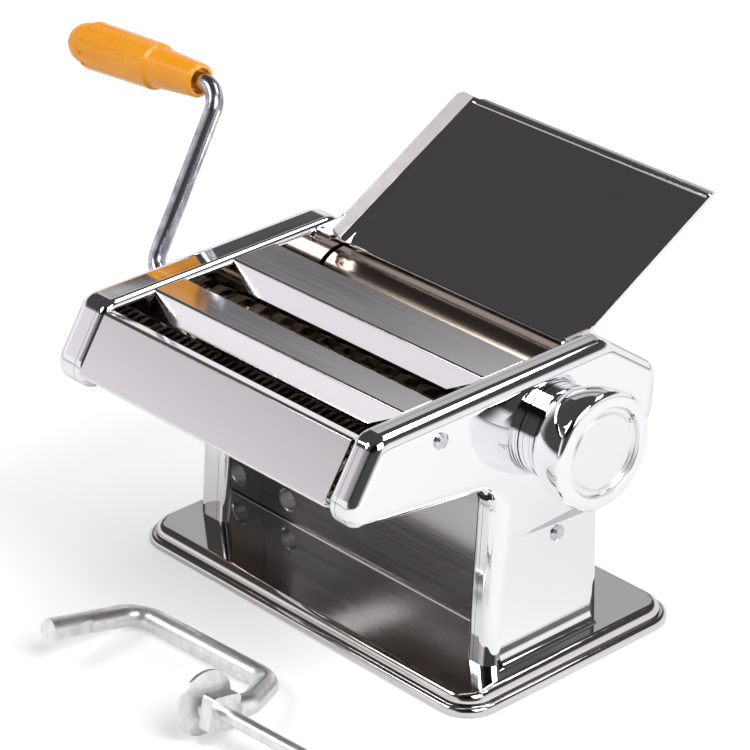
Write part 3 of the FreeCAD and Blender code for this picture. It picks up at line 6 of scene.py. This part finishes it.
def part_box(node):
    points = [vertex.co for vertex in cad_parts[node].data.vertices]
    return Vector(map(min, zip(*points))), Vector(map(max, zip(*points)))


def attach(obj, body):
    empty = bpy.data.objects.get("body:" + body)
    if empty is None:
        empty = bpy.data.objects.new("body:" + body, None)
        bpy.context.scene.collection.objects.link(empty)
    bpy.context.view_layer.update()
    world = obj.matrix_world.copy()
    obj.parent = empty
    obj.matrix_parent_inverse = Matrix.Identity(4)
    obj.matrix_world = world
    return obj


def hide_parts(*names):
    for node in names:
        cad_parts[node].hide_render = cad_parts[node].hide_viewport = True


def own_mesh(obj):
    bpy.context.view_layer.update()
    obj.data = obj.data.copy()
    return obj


# Hand-cranked pasta machine: polished steel sides, two cutter slots, a dough tray,
# a thickness knob, a crank with an orange grip and a loose table clamp.

MM = 0.001

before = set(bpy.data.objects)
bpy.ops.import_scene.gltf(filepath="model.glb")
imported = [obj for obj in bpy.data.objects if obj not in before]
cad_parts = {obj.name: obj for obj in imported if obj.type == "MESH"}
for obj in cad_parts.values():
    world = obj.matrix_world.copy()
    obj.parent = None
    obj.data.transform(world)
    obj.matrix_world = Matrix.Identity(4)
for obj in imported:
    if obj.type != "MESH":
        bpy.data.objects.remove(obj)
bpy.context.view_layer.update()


def deselect():
    bpy.ops.object.select_all(action="DESELECT")


deselect()


# Materials.

class Finish:
    """A material with its principled shader and short helpers for its nodes."""

    def __init__(self, name, colour, metallic, roughness):
        self.material = bpy.data.materials.new(name)
        self.material.use_nodes = True
        self.tree = self.material.node_tree
        self.shader = self.tree.nodes["Principled BSDF"]
        self.set("Base Color", (*colour, 1))
        self.set("Metallic", metallic)
        self.set("Roughness", roughness)

    def set(self, socket, value):
        self.shader.inputs[socket].default_value = value

    def node(self, kind, **inputs):
        made = self.tree.nodes.new(kind)
        for socket, value in inputs.items():
            made.inputs[socket.replace("_", " ")].default_value = value
        return made

    def link(self, source, target):
        self.tree.links.new(source, target)

    def place(self, scale=(1, 1, 1), shift=(0, 0, 0)):
        """Object coordinates, stretched and shifted for a pattern."""
        where = self.node("ShaderNodeTexCoord")
        mapping = self.node("ShaderNodeMapping", Scale=scale, Location=shift)
        self.link(where.outputs["Object"], mapping.inputs["Vector"])
        return mapping.outputs["Vector"]

    def noise(self, scale, detail, stretch=(1, 1, 1), rough=0.55):
        made = self.node("ShaderNodeTexNoise", Scale=scale, Detail=detail, Roughness=rough)
        self.link(self.place(scale=stretch), made.inputs["Vector"])
        return made.outputs["Fac"]

    def rings(self, scale, centre):
        """Turning rings about a line along the rollers."""
        made = self.node("ShaderNodeTexWave", Scale=scale, Distortion=0.4, Detail=2)
        made.wave_type = "RINGS"
        made.rings_direction = "X"
        self.link(self.place(shift=(0, -centre[1], -centre[2])), made.inputs["Vector"])
        return made.outputs["Fac"]

    def ramp(self, value, low, high, start=0.3, end=0.7):
        """Value between start and end mapped on to low and high."""
        made = self.node(
            "ShaderNodeMapRange", From_Min=start, From_Max=end, To_Min=low, To_Max=high
        )
        self.link(value, made.inputs["Value"])
        return made.outputs["Result"]

    def roughen(self, value):
        self.link(value, self.shader.inputs["Roughness"])

    def colour(self, factor, dark, light):
        """Colour that runs from dark to light with the factor."""
        made = self.node("ShaderNodeMix")
        made.data_type = "RGBA"
        first, second = [plug for plug in made.inputs if plug.type == "RGBA"]
        first.default_value = (*dark, 1)
        second.default_value = (*light, 1)
        self.link(factor, made.inputs["Factor"])
        mixed = [plug for plug in made.outputs if plug.type == "RGBA"][0]
        self.link(mixed, self.shader.inputs["Base Color"])

    def bump(self, height, strength, distance):
        made = self.node("ShaderNodeBump", Strength=strength, Distance=distance)
        self.link(height, made.inputs["Height"])
        self.link(made.outputs["Normal"], self.shader.inputs["Normal"])


def polished_steel(name, colour, low, high, wave):
    """Mirror steel: fine wiping marks in the polish and the slow waviness of pressed sheet."""
    made = Finish(name, colour, 1, low)
    wipes = made.noise(160, 4, stretch=(0.25, 1, 1.6))
    made.roughen(made.ramp(wipes, low, high, 0.35, 0.75))
    made.bump(made.noise(17, 1), wave, 2 * MM)
    return made


def satin_steel(name, colour, roughness):
    """Cold-rolled sheet with a fine grain along the rollers."""
    made = Finish(name, colour, 1, roughness)
    grain = made.noise(900, 2, stretch=(0.02, 1, 1))
    made.roughen(made.ramp(grain, roughness * 0.85, roughness * 1.2))
    made.bump(grain, 0.01, 0.2 * MM)
    made.set("Anisotropic", 0.2)
    return made


def turned_steel(name, colour, roughness, centre):
    """Lathe-turned disc with fine rings about its own axis."""
    made = Finish(name, colour, 1, roughness)
    rings = made.rings(700, centre)
    made.roughen(made.ramp(rings, roughness * 0.85, roughness * 1.15, 0, 1))
    made.bump(rings, 0.05, 0.1 * MM)
    return made


def zinc_plate(name, dark, light, smooth=0.14, dull=0.30):
    """Bright zinc on drawn rod: blue-grey clouds and long drawing marks."""
    made = Finish(name, light, 1, smooth)
    cloud = made.noise(210, 5, stretch=(1, 1, 0.45), rough=0.65)
    marks = made.noise(700, 2, stretch=(1, 1, 0.05))
    made.roughen(made.ramp(cloud, dull, smooth, 0.35, 0.68))
    made.colour(made.ramp(cloud, 0, 1, 0.36, 0.64), dark, light)
    made.bump(marks, 0.08, 0.2 * MM)
    return made


def moulded_plastic(name, dark, light, roughness):
    """Glossy moulding with a slight bloom in its colour and a soft grain."""
    made = Finish(name, light, 0, roughness)
    bloom = made.noise(45, 4)
    grain = made.noise(420, 3)
    made.colour(made.ramp(bloom, 0, 1), dark, light)
    made.roughen(made.ramp(grain, roughness * 0.85, roughness * 1.2))
    made.bump(grain, 0.05, 0.2 * MM)
    return made


def rubber(name):
    """Matt black rubber with a pebbled skin."""
    made = Finish(name, (0.02, 0.02, 0.021), 0, 0.75)
    grain = made.noise(650, 4)
    made.roughen(made.ramp(grain, 0.62, 0.88))
    made.bump(grain, 0.2, 0.3 * MM)
    return made


def cutter_metal(name):
    """Dark, warm cutter rings with flour-dulled flanks."""
    made = Finish(name, (0.12, 0.09, 0.07), 1, 0.25)
    dull = made.noise(130, 4)
    made.colour(made.ramp(dull, 0, 1), (0.06, 0.045, 0.035), (0.26, 0.20, 0.15))
    made.roughen(made.ramp(dull, 0.18, 0.38))
    return made


def middle(node):
    low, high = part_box(node)
    return [(a + b) / 2 for a, b in zip(low, high)]


CHROME = (0.90, 0.895, 0.91)
MIRROR = (0.72, 0.70, 0.69)
FRONT_SATIN = (0.88, 0.865, 0.88)
TRAY_MIRROR = (0.88, 0.855, 0.87)
STAND_SATIN = (0.74, 0.72, 0.73)
ROLLER_BROWN = (0.33, 0.275, 0.23)
FACE_SILVER = (0.88, 0.87, 0.875)
ZINC = ((0.44, 0.45, 0.48), (0.78, 0.78, 0.80))
CLAMP_ZINC = ((0.80, 0.81, 0.82), (0.96, 0.96, 0.96))
GEAR_GREY = ((0.34, 0.34, 0.34), (0.55, 0.54, 0.53))
ROD_BLUE_GREY = ((0.26, 0.28, 0.33), (0.66, 0.68, 0.72))
BUSH_BLACK = ((0.045, 0.04, 0.037), (0.07, 0.062, 0.055))
GRIP_ORANGE = ((0.98, 0.365, 0.012), (1.0, 0.42, 0.02))

finishes = {
    "chrome_side": polished_steel("chrome_side", CHROME, 0.03, 0.06, 0.10),
    "mirror_base": polished_steel("mirror_base", MIRROR, 0.04, 0.08, 0.10),
    "satin_panel": satin_steel("satin_panel", FRONT_SATIN, 0.11),
    "tray_steel": polished_steel("tray_steel", TRAY_MIRROR, 0.06, 0.10, 0.06),
    "zinc": zinc_plate("zinc", *ZINC),
    "bush_plastic": moulded_plastic("bush_plastic", *BUSH_BLACK, 0.45),
    "cutter_brass": cutter_metal("cutter_brass"),
    "roller_steel": satin_steel("roller_steel", ROLLER_BROWN, 0.16),
    "gear_steel": zinc_plate("gear_steel", *GEAR_GREY),
    "knob_chrome": polished_steel("knob_chrome", CHROME, 0.03, 0.05, 0.03),
    "knob_face": turned_steel("knob_face", FACE_SILVER, 0.34, middle("knob_face")),
    "foot_rubber": rubber("foot_rubber"),
    "rod_steel": zinc_plate("rod_steel", *ROD_BLUE_GREY),
    "grip_orange": moulded_plastic("grip_orange", *GRIP_ORANGE, 0.24),
}
clamp_zinc = zinc_plate("clamp_zinc", *CLAMP_ZINC, smooth=0.28, dull=0.46)
brushed_stand = satin_steel("brushed_stand", STAND_SATIN, 0.17)
for name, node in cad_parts.items():
    for slot in node.material_slots:
        finish = finishes[slot.material.name.split(".")[0]]
        if name.startswith("clamp_"):
            finish = clamp_zinc
        if name == "stand_panel":
            finish = brushed_stand
        slot.material = finish.material


# Modelling steps that the new pieces share.

NEAR = 0.1 * MM
SHARP = math.radians(35)


def edit():
    bpy.ops.object.mode_set(mode="EDIT")


def leave_edit():
    bpy.ops.object.mode_set(mode="OBJECT")


def mesh_object(name, scale=(1, 1, 1)):
    """Name and size the primitive just added and fix its place in its mesh."""
    made = bpy.context.object
    made.name = name
    made.scale = scale
    bpy.ops.object.transform_apply(location=True, rotation=True, scale=True)
    return made


def copied_node(name, source):
    """Selected copy of a CAD node's mesh with its doubles merged, in edit mode."""
    made = bpy.data.objects.new(name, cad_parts[source].data.copy())
    bpy.context.scene.collection.objects.link(made)
    made.select_set(True)
    bpy.context.view_layer.objects.active = made
    edit()
    bpy.ops.mesh.select_all(action="SELECT")
    bpy.ops.mesh.remove_doubles(threshold=0.001 * MM)
    return made


def select_none(kind):
    """Choose vertices, edges or faces to work on, with none of them selected."""
    edit()
    bpy.ops.mesh.select_mode(type=kind)
    bpy.ops.mesh.select_all(action="DESELECT")
    leave_edit()


def select_corners(made, wanted):
    """Select only the vertices that pass the test, in edit mode."""
    select_none("VERT")
    for corner in made.data.vertices:
        corner.select = wanted(corner.co)
    edit()


def select_edges(made, wanted):
    """Select only the edges whose two ends pass the test, in edit mode."""
    select_none("EDGE")
    for edge in made.data.edges:
        ends = [made.data.vertices[i].co for i in edge.vertices]
        edge.select = all(wanted(end) for end in ends)
    edit()


def select_faces(made, wanted):
    """Select only the faces whose normals pass the test, in edit mode."""
    select_none("FACE")
    for face in made.data.polygons:
        face.select = wanted(face.normal)
    edit()


def extrude(move):
    bpy.ops.mesh.extrude_region_move(TRANSFORM_OT_translate={"value": move})


def thicken(made, steel):
    """Give a folded sheet its thickness, behind the side that is seen."""
    wall = made.modifiers.new("sheet", "SOLIDIFY")
    wall.thickness = steel
    wall.offset = -1
    bpy.ops.object.modifier_apply(modifier=wall.name)


def smooth_bends(made):
    """Shade the bends round and keep the faces between them flat."""
    bpy.ops.object.shade_smooth_by_angle(angle=SHARP)
    flat = made.modifiers.new("flat_faces", "WEIGHTED_NORMAL")
    flat.keep_sharp = True
    bpy.ops.object.modifier_apply(modifier=flat.name)


# Front sheet, from the lip at the narrow slot to the toe under the cutters.

FRONT_TOP = Vector((0, -95.8 * MM, 134.2 * MM))
FRONT_FOOT = Vector((0, -112.2 * MM, 109.8 * MM))
FRONT_LIP = Vector((0, 5 * MM, -1.2 * MM))
FRONT_TOE = Vector((0, 5.2 * MM, -2.6 * MM))
FRONT_BEND = 1.3 * MM
FRONT_STEEL = 0.8 * MM


def folded_front():
    """Front sheet with its rolled lip at the narrow slot and the toe below."""

    def at_bend(end):
        return min((end - FRONT_TOP).yz.length, (end - FRONT_FOOT).yz.length) < NEAR

    low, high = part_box("front_panel")
    rise = FRONT_TOP - FRONT_FOOT
    lean = math.atan2(rise.z, rise.y)
    bpy.ops.mesh.primitive_plane_add(
        size=1, location=(FRONT_TOP + FRONT_FOOT) / 2, rotation=(lean, 0, 0)
    )
    made = mesh_object("front_sheet", (high[0] - low[0], rise.length, 1))
    select_edges(made, lambda end: end.z > FRONT_TOP.z - NEAR)
    extrude(FRONT_LIP)
    select_edges(made, lambda end: end.z < FRONT_FOOT.z + NEAR)
    extrude(FRONT_TOE)
    select_edges(made, at_bend)
    bpy.ops.mesh.bevel(offset=FRONT_BEND, segments=5)
    leave_edit()
    thicken(made, FRONT_STEEL)
    smooth_bends(made)
    made.data.materials.append(finishes["satin_panel"].material)
    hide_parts("front_panel")
    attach(made, "frame")
    deselect()


# Dough tray. Its plate runs up the slope from the pins, and its sides lean outwards.

TRAY_SLOPE = math.radians(28.6)
TRAY_PIVOT = Vector((0, 24.9 * MM, 132 * MM))
TRAY_RUN = Vector((0, math.cos(TRAY_SLOPE), math.sin(TRAY_SLOPE)))
TRAY_RISE = Vector((0, -math.sin(TRAY_SLOPE), math.cos(TRAY_SLOPE)))
TRAY_HALF_WIDTH = 72.4 * MM
TRAY_START = 5.2 * MM
TRAY_END = 95.2 * MM
TRAY_LEVEL = -7.8 * MM
TRAY_SIDE_LEAN = Vector((4.4 * MM, 0, 0))
TRAY_SIDE_RISE = TRAY_RISE * (6.3 * MM)
TRAY_SIDE_BEND = 2.2 * MM
TRAY_BROW = Vector((0, 5 * MM, 0.2 * MM))
TRAY_BROW_BEND = 0.5 * MM
TRAY_CORNER = 3 * MM
TRAY_STEEL = 1 * MM
EAR_LENGTH = 14 * MM
EAR_FOOT = -7 * MM


def along_tray(point):
    return (point - TRAY_PIVOT).dot(TRAY_RUN)


def above_pins(point):
    return (point - TRAY_PIVOT).dot(TRAY_RISE)


def tray_ears():
    """The two ears on the pins, cut from the CAD tray."""
    ears = copied_node("tray_ears", "dough_tray")
    bpy.ops.mesh.bisect(
        plane_co=TRAY_PIVOT + TRAY_RUN * EAR_LENGTH,
        plane_no=TRAY_RUN,
        use_fill=True,
        clear_outer=True,
    )
    bpy.ops.mesh.select_all(action="SELECT")
    bpy.ops.mesh.bisect(
        plane_co=TRAY_PIVOT + TRAY_RISE * EAR_FOOT,
        plane_no=TRAY_RISE,
        use_fill=True,
        clear_inner=True,
    )
    leave_edit()
    deselect()
    return ears


def folded_tray():
    """Dough tray: a plate with leaning sides and a level brow, and its two ears."""

    def on_plate(point):
        return along_tray(point) < TRAY_END - 0.4 * MM

    def at_side_bend(point):
        at_edge = abs(abs(point.x) - TRAY_HALF_WIDTH) < NEAR
        return at_edge and abs(above_pins(point) - TRAY_LEVEL) < NEAR and on_plate(point)

    def at_free_corner(point):
        at_brow = along_tray(point) > TRAY_END + 3 * MM
        on_side = above_pins(point) > TRAY_LEVEL + 6 * MM
        return at_brow or (on_side and along_tray(point) > TRAY_START + 9 * MM)

    ears = tray_ears()
    centre = TRAY_PIVOT + TRAY_RUN * ((TRAY_START + TRAY_END) / 2) + TRAY_RISE * TRAY_LEVEL
    bpy.ops.mesh.primitive_plane_add(size=1, location=centre, rotation=(TRAY_SLOPE, 0, 0))
    made = mesh_object("tray_sheet", (TRAY_HALF_WIDTH * 2, TRAY_END - TRAY_START, 1))
    select_edges(made, lambda point: along_tray(point) > TRAY_END - NEAR)
    extrude(TRAY_BROW)
    select_edges(made, lambda point: abs(along_tray(point) - TRAY_END) < NEAR)
    bpy.ops.mesh.bevel(offset=TRAY_BROW_BEND, segments=3)
    for side in (-1, 1):
        select_edges(
            made, lambda point: point.x * side > TRAY_HALF_WIDTH - NEAR and on_plate(point)
        )
        extrude(TRAY_SIDE_LEAN * side + TRAY_SIDE_RISE)
    select_edges(made, at_side_bend)
    bpy.ops.mesh.bevel(offset=TRAY_SIDE_BEND, segments=6)
    select_corners(made, at_free_corner)
    bpy.ops.mesh.bevel(offset=TRAY_CORNER, segments=6, affect="VERTICES")
    leave_edit()
    thicken(made, TRAY_STEEL)
    ears.select_set(True)
    bpy.ops.object.join()
    smooth_bends(made)
    made.data.materials.clear()
    made.data.materials.append(finishes["tray_steel"].material)
    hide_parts("dough_tray")
    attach(made, "tray")
    deselect()


# Knob: the set pin in its face and the spring behind it.

PIN_BACK = 16.2 * MM
PIN_UP = 9.0 * MM
PIN_RADIUS = 1.3 * MM
PIN_LENGTH = 1.2 * MM
PIN_SUNK = 0.35 * MM
PIN_RIM = 0.35 * MM
PIN_SOCKET = 0.7 * MM
OUTSIDE = 0.3


def knob_mark():
    """Small set pin, sunk in the knob's face near its edge."""
    centre = middle("knob_face")
    y = centre[1] + PIN_BACK
    z = centre[2] + PIN_UP
    hits = []
    for name in ("knob_face", "knob_shell"):
        found, place, *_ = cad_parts[name].ray_cast((OUTSIDE, y, z), (-1, 0, 0))
        if found:
            hits.append(place.x)
    bpy.ops.mesh.primitive_cylinder_add(
        vertices=20,
        radius=PIN_RADIUS,
        depth=PIN_LENGTH,
        location=(max(hits) - PIN_SUNK, y, z),
        rotation=(0, math.pi / 2, 0),
    )
    made = mesh_object("knob_pin")
    select_faces(made, lambda normal: normal.x > 0.9)
    bpy.ops.mesh.inset(thickness=PIN_RIM)
    extrude((-PIN_SOCKET, 0, 0))
    leave_edit()
    bpy.ops.object.shade_smooth_by_angle(angle=SHARP)
    made.data.materials.append(finishes["gear_steel"].material)
    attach(made, "knob")
    deselect()


def knob_coil():
    """The knob's spring, a smooth-shaded copy of the CAD spring, carried by the axle."""
    made = copied_node("knob_coil", "knob_spring")
    leave_edit()
    bpy.ops.object.shade_smooth_by_angle(angle=math.radians(40))
    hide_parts("knob_spring")
    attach(made, "axle")
    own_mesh(made)
    deselect()


folded_front()
folded_tray()
knob_mark()
knob_coil()


# Floor: matt white that keeps the shadow, and glows a little where it is seen or mirrored.

FLOOR_SIZE = 12
FLOOR_LEVEL = -0.2 * MM
FLOOR_WHITE = (0.86, 0.86, 0.86)
FLOOR_GLOW_SEEN = 0.38
FLOOR_GLOW_MIRRORED = 0.14


def floor_white():
    made = Finish("floor_white", FLOOR_WHITE, 0, 1)
    made.set("Specular IOR Level", 0)
    ray = made.node("ShaderNodeLightPath")
    seen = made.node("ShaderNodeMath")
    seen.operation = "MULTIPLY"
    seen.inputs[1].default_value = FLOOR_GLOW_SEEN
    made.link(ray.outputs["Is Camera Ray"], seen.inputs[0])
    mirrored = made.node("ShaderNodeMath")
    mirrored.operation = "MAXIMUM"
    made.link(ray.outputs["Is Glossy Ray"], mirrored.inputs[0])
    made.link(ray.outputs["Is Transmission Ray"], mirrored.inputs[1])
    both = made.node("ShaderNodeMath")
    both.operation = "MULTIPLY_ADD"
    both.inputs[1].default_value = FLOOR_GLOW_MIRRORED
    made.link(mirrored.outputs[0], both.inputs[0])
    made.link(seen.outputs[0], both.inputs[2])
    glow = made.node("ShaderNodeEmission")
    made.link(both.outputs[0], glow.inputs["Strength"])
    lit = made.node("ShaderNodeAddShader")
    made.link(made.shader.outputs[0], lit.inputs[0])
    made.link(glow.outputs[0], lit.inputs[1])
    made.link(lit.outputs[0], made.tree.nodes["Material Output"].inputs["Surface"])
    return made


bpy.ops.mesh.primitive_plane_add(size=FLOOR_SIZE, location=(0, 0, FLOOR_LEVEL))
floor = bpy.context.object
floor.name = "floor"
floor.data.materials.append(floor_white().material)


# Room: bright walls under a dark ceiling, and a dark opening on the camera's side.

CEILING_AXIS = (-0.1, 0.03, 1)
WALL_FOOT = (0.96, 0.96, 0.96, 1)
CEILING = (0.058, 0.055, 0.059, 1)
WALL_TONES = (
    (0.32, 0.94),
    (0.37, 0.78),
    (0.40, 0.60),
    (0.43, 0.46),
    (0.456, 0.34),
    (0.485, 0.12),
    (0.53, 0.062),
)
WALL_GREEN = 0.965
OPENING_AXIS = (0.666, -0.59, 0.455)
OPENING_EDGE = math.radians(50)
OPENING_CORE = math.radians(29)
OPENING_STRENGTH = 0.07

room = bpy.data.worlds.new("studio_room")
bpy.context.scene.world = room
room.use_nodes = True
tree = room.node_tree
walls = tree.nodes["Background"]
where = tree.nodes.new("ShaderNodeTexCoord")


def pointing(axis):
    """How far a direction in the room points along the axis."""
    made = tree.nodes.new("ShaderNodeVectorMath")
    made.operation = "DOT_PRODUCT"
    made.inputs[1].default_value = axis
    tree.links.new(where.outputs["Generated"], made.inputs[0])
    return made.outputs["Value"]


height = tree.nodes.new("ShaderNodeValToRGB")
tree.links.new(pointing(CEILING_AXIS), height.inputs[0])
steps = height.color_ramp.elements
steps[0].position, steps[0].color = 0, WALL_FOOT
steps[1].position, steps[1].color = 1, CEILING
for at, tone in WALL_TONES:
    steps.new(at).color = (tone, tone * WALL_GREEN, tone, 1)
tree.links.new(height.outputs["Color"], walls.inputs["Color"])

opening = tree.nodes.new("ShaderNodeMapRange")
opening.interpolation_type = "SMOOTHSTEP"
opening.inputs["From Min"].default_value = math.cos(OPENING_EDGE)
opening.inputs["From Max"].default_value = math.cos(OPENING_CORE)
opening.inputs["To Min"].default_value = 1
opening.inputs["To Max"].default_value = OPENING_STRENGTH
tree.links.new(pointing(OPENING_AXIS), opening.inputs["Value"])
tree.links.new(opening.outputs["Result"], walls.inputs["Strength"])


# Soft lamps.

HEAD = (0, 0, 0.08)
FOOT = (0, 0, 0.05)


def softbox(name, place, aim, width, height, power):
    lamp = bpy.data.lights.new(name, "AREA")
    lamp.shape = "RECTANGLE"
    lamp.size = width
    lamp.size_y = height
    lamp.energy = power
    made = bpy.data.objects.new(name, lamp)
    bpy.context.scene.collection.objects.link(made)
    made.location = place
    made.rotation_euler = (Vector(aim) - Vector(place)).to_track_quat("-Z", "Y").to_euler()


softbox("key_light", (1.33, -0.13, 1.48), HEAD, 1.0, 1.0, 23)
softbox("fill_light", (-0.9, -1.1, 1.4), HEAD, 0.7, 0.5, 11)
softbox("top_light", (0.2, 0.9, 1.6), HEAD, 1.0, 0.4, 9)
softbox("back_panel", (-1.65, 1.40, 1.40), FOOT, 1.6, 0.42, 0.95)


# Camera at the photograph's angle.

YAW = math.radians(48.451)
PITCH = math.radians(27.075)
ROLL = math.radians(-1.039)
FOCAL_PIXELS = 3709.855
PICTURE_PIXELS = 750
SENSOR_WIDTH = 36
EYE_BACK = 1.625416
EYE_ASIDE = -0.010546
EYE_UP = 0.088671

back = Vector((
    math.sin(YAW) * math.cos(PITCH),
    -math.cos(YAW) * math.cos(PITCH),
    math.sin(PITCH),
))
level = Vector((math.cos(YAW), math.sin(YAW), 0))
upright = back.cross(level)
right = math.cos(ROLL) * level + math.sin(ROLL) * upright
up = -math.sin(ROLL) * level + math.cos(ROLL) * upright
eye = back * EYE_BACK + level * EYE_ASIDE + upright * EYE_UP
lens = bpy.data.cameras.new("camera")
lens.sensor_width = SENSOR_WIDTH
lens.lens = FOCAL_PIXELS * SENSOR_WIDTH / PICTURE_PIXELS
lens.clip_start = 0.05
lens.clip_end = 30
camera = bpy.data.objects.new("camera", lens)
bpy.context.scene.collection.objects.link(camera)
camera.matrix_world = Matrix((
    (right.x, up.x, back.x, eye.x),
    (right.y, up.y, back.y, eye.y),
    (right.z, up.z, back.z, eye.z),
    (0, 0, 0, 1),
))
bpy.context.scene.camera = camera
bpy.context.scene.view_settings.view_transform = "Standard"
